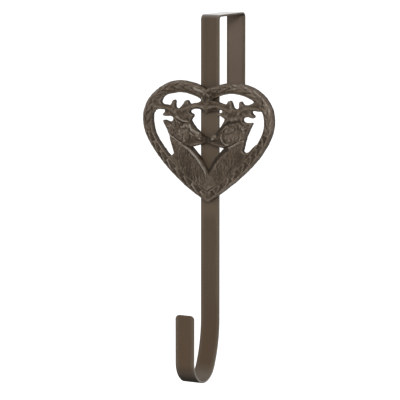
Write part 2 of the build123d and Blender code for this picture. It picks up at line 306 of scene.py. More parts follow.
paint_place = paint_tree.nodes.new("ShaderNodeTexCoord")
streak_stretch = add_node(paint_tree, "ShaderNodeMapping", inputs={"Scale": streak_scale})
streak_noise = add_node(paint_tree, "ShaderNodeTexNoise", inputs={"Scale": 1.0, "Detail": 4.0})
join(paint_tree, paint_place.outputs["Object"], streak_stretch.inputs["Vector"])
join(paint_tree, streak_stretch.outputs[0], streak_noise.inputs["Vector"])
streaks = ramp(paint_tree, streak_noise.outputs["Fac"], 0.3, 0.7)
streaked = mix_colours(paint_tree, streaks, dark_streak, light_streak)
mottled = mix_colours(paint_tree, paint_mottle, streaked, mottle_tone)

paint_axes = paint_tree.nodes.new("ShaderNodeSeparateXYZ")
from_middle = add_node(paint_tree, "ShaderNodeMath", {"operation": "ABSOLUTE"})
join(paint_tree, paint_place.outputs["Object"], paint_axes.inputs[0])
join(paint_tree, paint_axes.outputs["X"], from_middle.inputs[0])
strap_half_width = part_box("strap")[1][0]
edge_start = strap_half_width - edge_reach
edge_end = strap_half_width - edge_margin
long_edge = ramp(paint_tree, from_middle.outputs[0], edge_start, edge_end)
strap_rub = place_group(paint_tree, rub_group, {"Raggedness": 0.3})
join(paint_tree, long_edge, strap_rub.inputs["Edge"])
join(paint_tree, paint_mottle, strap_rub.inputs["Mottle"])
print("strap half width mm:", round(strap_half_width / MM, 2))

# %% [markdown]
# The strap isn't one brown all over. It is warmer at its lower end. The rest is painted light and shade:
# painted light behind the heart and just below its tip, to cancel part of the heart's shadow, and on the
# back leg, to lift the shade of the front strap and bridge; painted highlights on the hook's cut edge and
# seat; painted shade on its undersides. They are laid on one after another, by place, in metres from the
# bridge's underside, or by the way the surface faces, so that each is easy to take out again.

# %% Strap material: tones, painted light and painted shade by place
strap_y = paint_axes.outputs["Y"]
strap_z = paint_axes.outputs["Z"]
paint_facing = paint_tree.nodes.new("ShaderNodeNewGeometry")
facing_axes = paint_tree.nodes.new("ShaderNodeSeparateXYZ")
join(paint_tree, paint_facing.outputs["Normal"], facing_axes.inputs[0])
faces_right = facing_axes.outputs["X"]
faces_up = facing_axes.outputs["Z"]


def height_band(start, full_start, full_end, end):
    """A share that rises to 1 between the first two levels, going down, and falls again by the last."""
    rising = ramp(paint_tree, strap_z, start, full_start)
    falling = ramp(paint_tree, strap_z, end, full_end)
    return combine(paint_tree, "MULTIPLY", rising, falling)


lower_end = ramp(paint_tree, strap_z, -0.24, -0.31)
# Painted light: paler behind the heart and just below its tip, to cancel part of the heart's shadow.
lit_behind_heart = height_band(-0.075, -0.09, -0.145, -0.16)
lit_below_tip = height_band(-0.17, -0.177, -0.187, -0.197)
# Painted light: the whole back leg is paler, to lift the shade of the front strap and bridge.
lit_back_leg = ramp(paint_tree, strap_y, 0.018, 0.024)
# Painted highlights: pale grey on the hook's right-facing cut edge and on its upward-facing seat.
cut_side = ramp(paint_tree, faces_right, 0.6, 0.95)
at_hook = ramp(paint_tree, strap_z, -0.31, -0.335)
cut_edge_highlight = combine(paint_tree, "MULTIPLY", cut_side, at_hook)
seat_up = ramp(paint_tree, faces_up, 0.15, 0.75)
seat_low = ramp(paint_tree, strap_z, -0.334, -0.348)
seat_highlight = combine(paint_tree, "MULTIPLY", seat_up, seat_low)
# Painted shade: dark on every surface that faces down; the same share also makes them rougher.
shaded_underside = ramp(paint_tree, faces_up, -0.1, -0.8)

strap_tones = (
    (lower_end, (0.078, 0.0495, 0.0285, 1)),
    (lit_behind_heart, (0.098, 0.0695, 0.0465, 1)),
    (lit_below_tip, (0.1, 0.071, 0.047, 1)),
    (lit_back_leg, (0.138, 0.102, 0.076, 1)),
    (strap_rub.outputs["Rubbed"], (0.106, 0.079, 0.056, 1)),
    (cut_edge_highlight, (0.26, 0.235, 0.205, 1)),
    (seat_highlight, (0.135, 0.112, 0.088, 1)),
    (shaded_underside, (0.016, 0.012, 0.008, 1)),
)
paint_colour = mottled
for tone_share, tone in strap_tones:
    paint_colour = mix_colours(paint_tree, tone_share, paint_colour, tone)
join(paint_tree, paint_colour, paint_shader.inputs["Base Color"])
print("strap tones:", len(strap_tones))

# %% Strap material: gloss on the bridge, dull undersides, grain
facing_up = ramp(paint_tree, faces_up, 0.3, 0.9)
on_bridge = ramp(paint_tree, strap_z, -0.03, -0.01)
bridge_gloss = combine(paint_tree, "MULTIPLY", facing_up, on_bridge)
join(paint_tree, bridge_gloss, paint_shader.inputs["Coat Weight"])
paint_shader.inputs["Coat Roughness"].default_value = 0.1
paint_shader.inputs["Coat IOR"].default_value = 1.8
paint_shader.inputs["Specular IOR Level"].default_value = 0.18
paint_roughness = ramp(paint_tree, paint_mottle, 0, 1, 0.42, 0.54)
dull_under = combine(paint_tree, "MAXIMUM", paint_roughness, shaded_underside)
join(paint_tree, dull_under, paint_shader.inputs["Roughness"])
paint_bump = add_node(paint_tree, "ShaderNodeBump", inputs={"Strength": 0.35, "Distance": 0.06 * MM})
join(paint_tree, paint_grain.outputs["Grain"], paint_bump.inputs["Height"])
join(paint_tree, paint_bump.outputs["Normal"], paint_shader.inputs["Normal"])

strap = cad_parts["strap"]
strap.data.materials.clear()
strap.data.materials.append(strap_paint)
print("strap material nodes:", len(paint_tree.nodes))

# %% [markdown]
# ## Sculpting the casting
#
# Iron poured in sand has no sharp edges. The CAD casting gives the true form, in flat facets; here it
# becomes one closed skin of small even faces with the Remesh modifier, and is then smoothed a little,
# as the sand would round it. Work on a mesh of this size goes through numpy: all points at once.

# %% Remesh the casting
skin_voxel = 0.42 * MM
heart_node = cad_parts["heart_casting"]


def remeshed(source, name, voxel):
    """A new object: the source's mesh, welded and remeshed to one closed skin of even faces."""
    welded = source.data.copy()
    work = bmesh.new()
    work.from_mesh(welded)
    bmesh.ops.remove_doubles(work, verts=work.verts, dist=0.001 * MM)
    work.to_mesh(welded)
    work.free()
    piece = bpy.data.objects.new(name, welded)
    bpy.context.scene.collection.objects.link(piece)
    modifier = piece.modifiers.new("skin", "REMESH")
    modifier.mode = "VOXEL"
    modifier.voxel_size = voxel
    depsgraph = bpy.context.evaluated_depsgraph_get()
    skin = bpy.data.meshes.new_from_object(piece.evaluated_get(depsgraph))
    piece.modifiers.clear()
    piece.data = skin
    return piece


heart = remeshed(heart_node, "heart_skin", skin_voxel)
print("skin points:", len(heart.data.vertices))

# %% Read and smooth the skin
point_count = len(heart.data.vertices)
edge_count = len(heart.data.edges)
places = np.empty(point_count * 3)
heart.data.vertices.foreach_get("co", places)
places = places.reshape(-1, 3)
edges = np.empty(edge_count * 2, dtype=np.int32)
heart.data.edges.foreach_get("vertices", edges)
edges = edges.reshape(-1, 2)
edge_ends = np.concatenate([edges[:, 0], edges[:, 1]])
edge_starts = np.concatenate([edges[:, 1], edges[:, 0]])
neighbours = np.maximum(np.bincount(edge_ends, minlength=point_count), 1)


def smoothed(values, steps, share=0.5):
    """Each value moved step by step towards the mean of its neighbours."""
    values = values.copy()
    for _ in range(steps):
        for column in range(values.shape[1]):
            sums = np.bincount(edge_ends, weights=values[edge_starts, column], minlength=point_count)
            values[:, column] += share * (sums / neighbours - values[:, column])
    return values


def point_normals():
    """Normals of the skin as it stands."""
    heart.data.vertices.foreach_set("co", places.ravel())
    heart.data.update()
    normals = np.empty(point_count * 3, dtype=np.float32)
    heart.data.vertex_normals.foreach_get("vector", normals)
    return normals.reshape(-1, 3)


places = smoothed(places, 3)
normals = point_normals()
print("skin box mm:", (places.min(0) / MM).round(2), (places.max(0) / MM).round(2))

# %% [markdown]
# The casting sits about one degree askew on the strap, so sculpting is done in the casting's own drawing:
# x across from its middle, y up from its lower tip, both in millimetres. Both halves are measured as if
# they were the right one, and each stroke says whether it is for the left, the right or both. Only the
# front is carved: points that don't face backwards and stand more than 2 mm over the casting's back.

# %% The casting's own drawing
heart_turn = math.radians(1.0)
heart_tip_drop = 178.0
heart_height = 115.7
back_plane = -27.0

middle_up = heart_height / 2
across = places[:, 0] / MM
upward = places[:, 2] / MM + heart_tip_drop - middle_up
signed_x = across * math.cos(heart_turn) + upward * math.sin(heart_turn)
draw_x = np.abs(signed_x)
draw_y = upward * math.cos(heart_turn) - across * math.sin(heart_turn) + middle_up
height = back_plane - places[:, 1] / MM
facing = np.clip(-normals[:, 1], 0, 1)
lowest_carved = 2.0
front = np.flatnonzero((facing > -0.05) & (height > lowest_carved))
print("drawing spans", draw_x.max().round(2), draw_y.min().round(2), draw_y.max().round(2))
print("points on the front:", len(front))

# %% [markdown]
# ## Strokes
#
# A sculptor adds and cuts with short strokes. A stroke here is a line through a few points with a width
# and a rise; the skin swells, or sinks where the rise is negative, under a smooth rounded profile.

# %% Helpers for strokes
relief = np.zeros(point_count)
# A second map holds painted highlights and painted shade, and a darker tone on the necks.
painted_sheen_and_shade = np.zeros(point_count)
front_x = draw_x[front]
front_y = draw_y[front]
on_right = signed_x[front] > 0
everywhere = np.full(len(front), True)


def nearest_on_line(line, x, y):
    """Distance from each place to a line through points, and how far along it the nearest spot is."""
    best = np.full(len(x), np.inf)
    along = np.zeros(len(x))
    lengths = np.hypot(*(line[1:] - line[:-1]).T)
    total = lengths.sum()
    done = 0.0
    for start, end, length in zip(line[:-1], line[1:], lengths):
        step_x, step_y = (end - start) / length
        share = np.clip((x - start[0]) * step_x + (y - start[1]) * step_y, 0, length)
        gap = np.hypot(x - start[0] - share * step_x, y - start[1] - share * step_y)
        nearer = gap < best
        best = np.where(nearer, gap, best)
        along = np.where(nearer, (done + share) / total, along)
        done += length
    return best, along


def curve_through(points, pieces=6):
    """More points on a smooth curve through these, so that a stroke doesn't bend in corners."""
    padded = np.vstack([2 * points[0] - points[1], points, 2 * points[-1] - points[-2]])
    curve = []
    for before, start, end, after in zip(padded, padded[1:], padded[2:], padded[3:]):
        for share in np.arange(pieces) / pieces:
            curve.append(0.5 * (
                2 * start + (end - before) * share
                + (2 * before - 5 * start + 4 * end - after) * share**2
                + (3 * start - before - 3 * end + after) * share**3
            ))
    return np.vstack([curve, points[-1]])


def stroke_share(points, half_width, taper, side):
    """Points of the skin under a stroke, and for each how strongly, from 0 to 1."""
    points = np.asarray(points, dtype=float)
    line = curve_through(points) if len(points) > 2 else points
    low = line.min(0) - half_width
    high = line.max(0) + half_width
    in_box = (front_x > low[0]) & (front_x < high[0]) & (front_y > low[1]) & (front_y < high[1])
    on_side = {"both": everywhere, "right": on_right, "left": ~on_right}[side]
    near = np.flatnonzero(in_box & on_side)
    gap, along = nearest_on_line(line, front_x[near], front_y[near])
    profile = np.clip(1 - (gap / half_width) ** 2, 0, None) ** 2
    fade = np.clip(np.minimum(along, 1 - along) / taper, 0, 1) if taper else 1.0
    return front[near], profile * fade


def stroke(points, half_width, rise, taper=0.25, side="both"):
    """Swell (or cut) along a smooth line; taper is the share of its length that fades out at each end."""
    spots, share = stroke_share(points, half_width, taper, side)
    relief[spots] += rise * share


def paint_sheen_and_shade(points, half_width, amount, side="both"):
    """Paint a highlight along a smooth line, or painted shade where the amount is negative."""
    spots, share = stroke_share(points, half_width, 0.05, side)
    painted_sheen_and_shade[spots] += amount * share

# %% [markdown]
# The rim needs its own coordinates: how far a point lies in from the heart's outline, and how far it is
# along that outline from the lower tip. The outline is a chain of arcs, each starting in the direction in
# which the last one ended, as it was drawn for the casting.

# %% The outline as a chain of arcs
outline_start = np.array((0.0, 108.7))
outline_top = np.array((27.0, 115.7))
outline_corners = [(50.5, 110.5), (70.75, 79.5), (65.75, 60.0), (48.75, 37.7), (0.0, 0.0)]
arc_steps = 28


def turned(vector, angle):
    """A flat vector turned to the left by an angle."""
    return np.array((
        vector[0] * math.cos(angle) - vector[1] * math.sin(angle),
        vector[0] * math.sin(angle) + vector[1] * math.cos(angle),
    ))


def turning(heading, chord):
    """Angle through which an arc turns that starts in this heading and ends at the chord's end."""
    side = np.array((-heading[1], heading[0]))
    return 2 * math.atan2(chord @ side, chord @ heading)


def heart_outline():
    """Points along the right-hand half of the outline, from the lower tip to the cleft."""
    to_top = outline_top - outline_start
    to_corner = np.array(outline_corners[0]) - outline_start
    rest = np.array(outline_corners[0]) - outline_top
    bend = math.acos((to_top @ rest) / (np.linalg.norm(to_top) * np.linalg.norm(rest)))
    heading = turned(to_corner / np.linalg.norm(to_corner), bend)
    points = [outline_start]
    for corner in outline_corners:
        start = points[-1]
        chord = np.array(corner) - start
        turn = turning(heading, chord)
        radius = np.linalg.norm(chord) / (2 * math.sin(turn / 2))
        side = np.array((-heading[1], heading[0]))
        centre = start + side * radius
        for step in range(1, arc_steps + 1):
            points.append(centre + turned(start - centre, turn * step / arc_steps))
        heading = turned(heading, turn)
    return np.array(points[::-1])


outline = heart_outline()
rim_length = np.hypot(*(outline[1:] - outline[:-1]).T).sum()
skin_inset, skin_along = nearest_on_line(outline, draw_x, draw_y)
rim_inset = skin_inset[front]
rim_along = skin_along[front] * rim_length
print("half outline mm:", rim_length.round(2), "deepest inset:", rim_inset.max().round(1))

# %% [markdown]
# With these two coordinates the garland is a pattern that repeats. Up the straight sides each pitch has
# one broad leaf that hangs on the inner ridge, and a dark pocket between the leaf's edge and a rounded
# outer band. Over the lobes the leaves grow in two rows, swept back from a middle stem like strands of a
# rope. Both patterns are heights above the casting's back, and the rim's face is drawn to them. No two
# leaves of a carved pattern are quite alike, so each gets its own small shift and strength. Where a neck
# meets the rim, it rises to it without a step.

# %% Garland pattern on the straight sides
leaf_count = 17
leaf_length = np.where(on_right, 7.0, 11.0)
leaf_foot = 2.4
leaf_point = 7.2
leaf_pitch = rim_length / leaf_count
rim_width = 8.6
band_height = 7.2
pocket_height = 6.1
leaf_seed = 3


def soft_step(values, low, high):
    """0 below low, 1 above high, and a smooth rise between."""
    share = np.clip((values - low) / (high - low), 0, 1)
    return share * share * (3 - 2 * share)


def soft_bump(values, half_width):
    """1 where a value is 0, falling smoothly to 0 at half_width on either side."""
    return np.clip(1 - (values / half_width) ** 2, 0, None) ** 2


leaf_chance = np.random.default_rng(leaf_seed)
leaf_total = 2 * leaf_count + 2
leaf_shift = leaf_chance.uniform(-1.7, 1.7, leaf_total)
leaf_strength = leaf_chance.uniform(0.55, 1.15, leaf_total)
leaf_number = np.floor(rim_along / leaf_pitch).astype(int) + np.where(on_right, leaf_count + 1, 0)

in_pitch = np.mod(rim_along, leaf_pitch)
in_ground = (rim_inset - leaf_foot) / (leaf_point - leaf_foot)
leaf_slope = (leaf_point - leaf_foot) / np.hypot(leaf_length, leaf_point - leaf_foot)
leaf_curve = in_ground + 0.35 * np.sin(math.pi * np.clip(in_ground, 0, 1))
from_leaf = (in_pitch + leaf_shift[leaf_number] - leaf_length * leaf_curve) * leaf_slope
to_cross = np.minimum(in_pitch, leaf_pitch - in_pitch)

leaf_body = 0.9 * soft_bump(from_leaf, 1.7) - 0.35 * soft_step(-from_leaf, 0.4, 2.6)
pocket_drop = (band_height - pocket_height) * soft_step(from_leaf, 0.2, 1.1)
foot_ridge = 0.9 * soft_bump(to_cross, 1.4)
leaf_shape = leaf_body - pocket_drop + np.where(from_leaf > 0.4, foot_ridge, 0.35 * foot_ridge)
between_bands = soft_step(rim_inset, 1.6, 2.8) * (1 - soft_step(rim_inset, 6.7, 7.8))
on_ground = between_bands * soft_step(rim_along, 3, 11)
band_line = 0.35 * soft_bump(rim_inset - 1.9, 0.6)
ridge_kept = np.where(on_right, 0.3 + 0.7 * soft_step(rim_along, 40, 70), 1.0)
inner_ridge = 0.5 * ridge_kept * soft_bump(rim_inset - 7.7, 1.0)
side_height = band_height - band_line + inner_ridge + on_ground * leaf_shape * leaf_strength[leaf_number]

# %% Garland pattern over the lobes
stem_inset = 4.3


def strand_row(across_row, shift):
    """Height of one row of leaves that overlap like strands; across_row runs from the stem to the edge."""
    grown = np.mod(rim_along / leaf_pitch - 0.85 * across_row + shift, 1.0)
    along_leaf = soft_step(grown, 0.0, 0.5) * (1 - soft_step(grown, 0.84, 1.0))
    across_leaf = 0.35 + 0.65 * np.sin(math.pi * np.clip(across_row, 0, 1))
    veins = 0.07 * np.sin(grown * 6 * math.pi)
    return (0.95 * along_leaf + veins) * across_leaf


outer_row = strand_row((stem_inset - rim_inset) / stem_inset, 0.0)
inner_row = strand_row((rim_inset - stem_inset) / (rim_width - stem_inset), 0.45)
crown = 1.0 - ((rim_inset - 3.9) / 4.7) ** 2
strands = np.where(rim_inset < stem_inset, outer_row, inner_row)
lobe_height = 5.9 + 0.9 * crown + strands * leaf_strength[leaf_number]

# %% Draw the rim's face to the pattern
lobe_share = soft_step(rim_along, 84, 112)
pattern_height = side_height * (1 - lobe_share) + lobe_height * lobe_share
on_rim = soft_step(rim_inset, 0.2, 0.8) * (1 - soft_step(rim_inset, 8.0, 8.7))
off_cleft = np.clip(soft_step(front_x, 2.0, 7.0) + soft_step(80 - front_y, 0, 5), 0, 1)
relief[front] += (pattern_height - height[front]) * on_rim * off_cleft
print("relief after the garland:", relief.min().round(2), relief.max().round(2))

# %% Let the necks run into the rim
neck_reach = 5.0
neck_top = 7.1
on_neck = (rim_inset > 7.9) & (facing[front] > 0.3) & (height[front] > 3.5)
beside_rim = (1 - on_rim) * (1 - soft_step(rim_inset, 8.0, 8.0 + neck_reach)) * on_neck
low_on_rim = soft_step(70 - rim_along, 0, 15)
print("neck beside the rim stands", np.median(height[front][beside_rim * low_on_rim > 0.3]).round(2))
relief[front] += np.clip(neck_top - height[front], 0, None) * beside_rim * low_on_rim

# %% Round the rim's outer and inner edges
edge_height = 7.4
outer_drop = 2.3
outer_reach = 2.6
inner_drop = 1.2
outer_limit = edge_height - outer_drop * (1 - np.clip(rim_inset / outer_reach, 0, 1)) ** 2
inner_limit = edge_height - inner_drop * soft_step(rim_inset, 7.2, 8.5) * lobe_share
by_inner_edge = (rim_inset > 7.0) & (rim_inset < 9.2) & (facing[front] < 0.8)
edge_limit = np.where(by_inner_edge, inner_limit, outer_limit)
edge_limit = np.where((rim_inset < outer_reach) | by_inner_edge, edge_limit, np.inf)
edge_limit = np.where(off_cleft > 0.5, edge_limit, np.inf)

# %% [markdown]
# ## Two halves that differ
#
# In the CAD casting the rim is the same on both sides; in the photograph it isn't quite. Each pair below
# is a place along the outline, counted from the lower tip, and how far the outline is pushed out there,
# or in where it is negative; both in millimetres. Between two pairs the push changes evenly. The left
# rim's inner wall is widened, and necks and heads get slightly fuller walls.

# %% Let the two halves of the rim differ a little
left_widening = 1.3
neck_fill = 0.55
push_middle = 62.0
left_push = [
    (0, 0.6), (20, 1.45), (50, 1.4), (65, 0.9), (95, 0.5), (115, 0.35), (130, -0.4),
    (143, -0.9), (152, 0.1), (161, 1.2), (170, 1.4), (184, 0.4), (204, 0),
]
right_push = [
    (0, 0.6), (14, -0.1), (48, 0.2), (72, 0.6), (95, 0.3), (110, 0.9), (122, 1.4),
    (138, 0.9), (150, 0.6), (162, 0.1), (175, -0.3), (190, -0.9), (204, 0),
]
by_inner_wall = soft_step(skin_inset, 4.5, 8.0) * (1 - soft_step(skin_inset, 9.2, 11.0))
by_outline = 1 - soft_step(skin_inset, 2.0, 7.0)
left_half = signed_x < 0
up_the_left = soft_step(draw_y, 60, 74) * (1 - soft_step(draw_y, 86, 94)) * left_half
widened = left_widening * by_inner_wall * up_the_left
push_of_left = np.interp(skin_along * rim_length, *zip(*left_push))
push_of_right = np.interp(skin_along * rim_length, *zip(*right_push))
push = np.where(left_half, push_of_left, push_of_right) * by_outline
from_push_middle = np.hypot(signed_x, draw_y - push_middle)
push_across = push * signed_x / from_push_middle
push_up = push * (draw_y - push_middle) / from_push_middle
below_antlers = 1 - soft_step(draw_y, 74, 82)
within_rim = soft_step(skin_inset, 8.6, 9.6)
beside_screws = soft_step(draw_x, 4, 7)
wall_fill = neck_fill * within_rim * beside_screws * below_antlers
print("largest push mm:", push.max().round(2), "smallest:", push.min().round(2))

# %% [markdown]
# ## The stags
#
# Now the heads, stroke by stroke: the burr where the antler grows out of the skull, the ridges down the
# nose, the round cheek, eye and ear, then the line of the jaw that runs on as the edge of the chest.

# %% Left head: burr, nose, muzzle, eye and cheek
left_burr = [(34.6, 88.6), (33.9, 86.2), (32.7, 83), (29.7, 80.1), (25.4, 78.1), (19.3, 77.3)]
stroke(left_burr, 1.2, 1.1, 0.08, "left")
stroke([(32.2, 87.5), (31, 84), (28, 81.8), (23.6, 80)], 1.2, -0.8, side="left")
stroke([(31, 78.8), (26, 76.2), (21.5, 75.2)], 1.2, -0.6, side="left")
stroke([(19.2, 76.8), (18.4, 74.9), (16.6, 71.5), (13.3, 68.6), (7.8, 65.6)], 1.0, 1.2, 0.15, "left")
stroke([(20.4, 72.6), (17.9, 69.5), (14.6, 66.6), (10.3, 64.4)], 1.0, -1.0, side="left")
stroke([(19, 67.6), (15.2, 64.8), (12.4, 62.8)], 0.9, 0.7, side="left")
stroke([(3.6, 65.2), (5.4, 62.5), (6.1, 58.7)], 1.1, 0.5, 0.2, "left")
stroke([(8, 64.4), (8.6, 61.6), (8.8, 58.8)], 1.2, -0.5, side="left")
stroke([(22, 71), (24.3, 72.4), (27, 71)], 0.8, 0.7, side="left")
stroke([(22.2, 69.8), (24.3, 70.2), (26.4, 69.6)], 0.9, -0.8, side="left")
stroke([(28.2, 68), (29, 68.3)], 1.6, 0.5, 0, "left")
stroke([(25.2, 64.9), (26, 64.9)], 1.3, -0.7, 0, "left")
stroke([(22.8, 58.8), (23.8, 58.4)], 2.2, 0.6, 0, "left")
stroke([(17.4, 64.5), (18.4, 61), (20.4, 58.2)], 1.2, -0.6, side="left")

# %% Right head: burr, nose, eye and round cheek
right_burr = [(34.9, 90.6), (35.7, 86.9), (34.5, 83.7), (30.2, 80.9), (26, 79.6), (22.4, 79)]
right_nose = [(27.4, 79.6), (19.9, 74.1), (14.4, 68.6), (10.7, 64.7)]
right_cheek = [(16.9, 67), (16.4, 62.8), (17.8, 59.1), (20.8, 56.8), (25, 56.2)]
stroke(right_burr, 2.0, 1.0, 0.1, "right")
stroke([(37.2, 80), (33.4, 78.6), (29.4, 77.4), (25.6, 76.8)], 1.3, -0.9, side="right")
stroke(right_nose, 1.9, -1.4, 0.1, "right")
for hatch_x, hatch_y in ((23.5, 77), (21, 75), (18.6, 72.7), (16.3, 70.4), (14, 68), (12, 65.8)):
    stroke([(hatch_x - 0.7, hatch_y + 1.2), (hatch_x + 0.9, hatch_y - 1.2)], 0.55, 0.25, 0, "right")
stroke([(23, 69.8), (28.5, 70.8)], 3.2, 0.6, 0, "right")
stroke([(30.9, 73.6), (31.3, 70.8), (28.8, 68), (24, 66.6), (20, 66.6)], 1.3, -0.4, 0.3, "right")
stroke(right_cheek, 1.3, 0.8, 0.25, "right")
stroke([(19, 65.4), (18.6, 62.6), (19.9, 60), (22.4, 58.4), (25.6, 58)], 1.4, -0.35, side="right")
stroke([(37.9, 70), (37.4, 63.5), (34.1, 58.1), (26.8, 54.4), (23.2, 52.6)], 1.4, 0.5, 0.2, "right")
stroke([(36, 67.5), (35.2, 62.5), (31.6, 59), (27, 56.4)], 1.3, -0.25, side="right")
stroke([(35.2, 79.8), (36.4, 78), (37.8, 76.4)], 1.6, -1.0, 0, "right")

# %% Ears and mouths of both
stroke([(39.5, 72.6), (43, 74.3), (46.8, 76.7)], 1.4, -1.0)
stroke([(40, 70.6), (44, 72.7), (48, 76.9)], 0.8, 0.4)
stroke([(0.8, 59.6), (5, 59.2), (10, 59.9), (14, 60.8)], 0.8, -0.9)
stroke([(1.5, 57.7), (7, 57), (13, 55.7)], 0.8, 0.4)
stroke([(2.6, 62), (3.4, 61.2)], 1.6, -0.8, taper=0)
stroke([(0, 57), (0, 65)], 1.0, -1.3, taper=0)
for lump_x, lump_y in ((2.2, 63.8), (4.8, 63.2), (1.6, 59.4), (4.6, 60.2), (7.4, 61.4)):
    stroke([(lump_x, lump_y), (lump_x + 0.4, lump_y)], 1.1, 0.8, taper=0)
print("relief after the heads:", relief.min().round(2), relief.max().round(2))

# %% Antlers: a dark fork between the palms, and the joint that slopes down to a point
stroke([(31.4, 88), (29.2, 91), (27.6, 94)], 1.0, -0.4)
stroke([(44.5, 88.4), (42, 86.6), (40, 84.4)], 1.2, -0.4)
stroke([(12, 90.4), (6, 88.8), (0, 87)], 3.0, -1.8, taper=0.1)
stroke([(14, 93.4), (7, 92.8), (0, 91.4)], 1.3, 0.4, taper=0.1)

# %% Jaw and chest edge: a ridge on the left, a slope inwards on the right
left_jaw = [(41.1, 64.9), (38.6, 62.8), (33.1, 59.8), (28.2, 56.8), (22.2, 53.2), (19.1, 50.7)]
left_chest = [(19.1, 50.7), (14.2, 46), (10, 41.8), (4.4, 34.6), (0, 27.4)]
right_chest = [(24.4, 54), (19, 50.2), (13.6, 45.2), (9.2, 40.6), (4.2, 34.2), (0.6, 28)]
stroke(left_jaw, 1.2, 1.0, 0.05, "left")
stroke(left_chest, 1.1, 1.4, 0.02, "left")
stroke([(37, 66.5), (35, 62.4), (30.4, 59.4), (24.6, 56.2)], 1.0, -0.7, side="left")
stroke(right_chest, 3.4, -1.7, 0.05, "right")

# %% Cleft: leaves on the left, curls on the right
upper_leaf = [(13.5, 109.8), (7, 107.8), (1.5, 105.4)]
lower_leaf = [(11, 105.4), (6.4, 102.4), (3, 98)]
stroke(upper_leaf, 1.3, 0.8, side="left")
stroke([(12, 107.6), (6.4, 105), (1.4, 101.6)], 0.9, -0.8, side="left")
stroke(lower_leaf, 1.3, 0.7, side="left")
stroke([(14.6, 105.4), (9.6, 101.4), (5.6, 97)], 0.9, -0.6, side="left")
stroke([(12.6, 108.6), (8.4, 107.4), (5.6, 104.6), (7.4, 102), (10.6, 102.4)], 0.9, 0.6, side="right")
stroke([(4, 106.8), (3, 103.4), (4.4, 99.6), (7.6, 98.2)], 0.9, 0.5, side="right")
stroke([(8, 104.6), (8.8, 104.4)], 1.5, -1.1, 0, "right")
stroke([(2.6, 101.2), (3, 100.6)], 1.4, -1.0, 0, "right")
stroke([(12.6, 105.4), (13.2, 105.2)], 1.4, -0.9, 0, "right")
stroke([(1.6, 106), (2, 105.4)], 1.3, -0.8, 0, "right")

# %% [markdown]
# ## Painted highlights and painted shade
#
# Height alone doesn't give every bright line and dark hollow. The rest is painted into a second map, along
# the strokes or across whole places: painted highlights, painted shade and a darker tone on the necks. The
# finish reads it together with the heights further down.

# %% Painted highlights and painted shade
# Painted highlights on the left chest, jaw, nose and burr, the cleft's left leaves and the right cheek.
paint_sheen_and_shade(left_chest, 1.2, 0.6, "left")
paint_sheen_and_shade(left_jaw, 1.4, 0.22, "left")
paint_sheen_and_shade([(18.4, 74.9), (16.6, 71.5), (13.3, 68.6), (7.8, 65.6)], 1.2, 0.65, "left")
paint_sheen_and_shade([(34.6, 88.6), (32.7, 83), (29.7, 80.1), (25.4, 78.1), (19.3, 77.3)], 1.4, 0.1, "left")
paint_sheen_and_shade(upper_leaf, 1.5, 0.5, "left")
paint_sheen_and_shade(lower_leaf, 1.3, 0.2, "left")
paint_sheen_and_shade(right_cheek, 1.3, 0.2, "right")
# Painted shade on the muzzles and under the chins.
paint_sheen_and_shade([(0, 61.5), (6, 61.5)], 7.5, -0.58)
paint_sheen_and_shade([(6, 58.4), (14, 58.6), (22, 57.4)], 4.0, -0.22)
# A darker tone over both necks.
paint_sheen_and_shade([(26, 48), (18, 36), (8, 24)], 15, -0.13, "left")
paint_sheen_and_shade([(20, 44), (14, 34), (6, 24)], 9, -0.1, "right")
# Painted shade on the right nose and chest edge, under the antlers' joint, in the cleft, behind the right
# burr.
paint_sheen_and_shade(right_nose, 3.2, -0.5, "right")
paint_sheen_and_shade(right_chest, 4.4, -0.42, "right")
paint_sheen_and_shade([(12, 90.6), (6, 89), (0, 88)], 4.0, -0.3)
paint_sheen_and_shade([(3, 106), (8, 103), (4, 99)], 5.0, -0.35, "right")
paint_sheen_and_shade([(0, 104), (0, 96)], 4.0, -0.3)
paint_sheen_and_shade([(37.5, 76), (35, 80)], 2.6, -0.25, "right")
outer_part = 1 - soft_step(rim_inset, 5, 7)
right_lobe = lobe_share * on_right * outer_part * (1 - soft_step(rim_along, 165, 185))
left_lobe = ~on_right * soft_step(rim_along, 120, 140) * outer_part
left_band = ~on_right * (1 - lobe_share) * (1 - soft_step(rim_inset, 1.2, 2.6))
right_band = on_right * (1 - lobe_share) * (1 - soft_step(rim_inset, 1.8, 3.2))
# Painted light on the right lobe, left lobe top and right outer band; painted shade on the left outer band.
painted_sheen_and_shade[front] += 0.17 * right_lobe + 0.12 * left_lobe + 0.08 * right_band - 0.12 * left_band
print("polish spans", painted_sheen_and_shade.min().round(2), painted_sheen_and_shade.max().round(2))

# %% [markdown]
# ## Hair
#
# Blender can grow hair from particles, but on a casting hair is only carved: short low ridges, each with a
# cut beside it. Tufts are sown at random inside an outline, from a fixed seed, so that every run gives the
# same coat. The right stag's coat is the smoother one.

# %% Hair on necks and heads
hair_seed = 7
right_hair = 0.7
hair_chance = np.random.default_rng(hair_seed)
neck_outline = np.array((
    (17, 50), (5, 36), (1, 27), (1, 14), (20, 25.5), (33.5, 38), (37, 50), (39, 60), (26, 54)
))
head_outline = np.array((
    (22, 75), (33, 78), (40, 70), (37, 62), (26, 56.5), (15, 58.5), (9, 62), (16, 69)
))


def inside(outline, x, y):
    """Whether a point lies inside a closed outline."""
    hit = False
    for (x1, y1), (x2, y2) in zip(outline, np.roll(outline, -1, axis=0)):
        if (y1 > y) != (y2 > y) and x < x1 + (y - y1) / (y2 - y1) * (x2 - x1):
            hit = not hit
    return hit


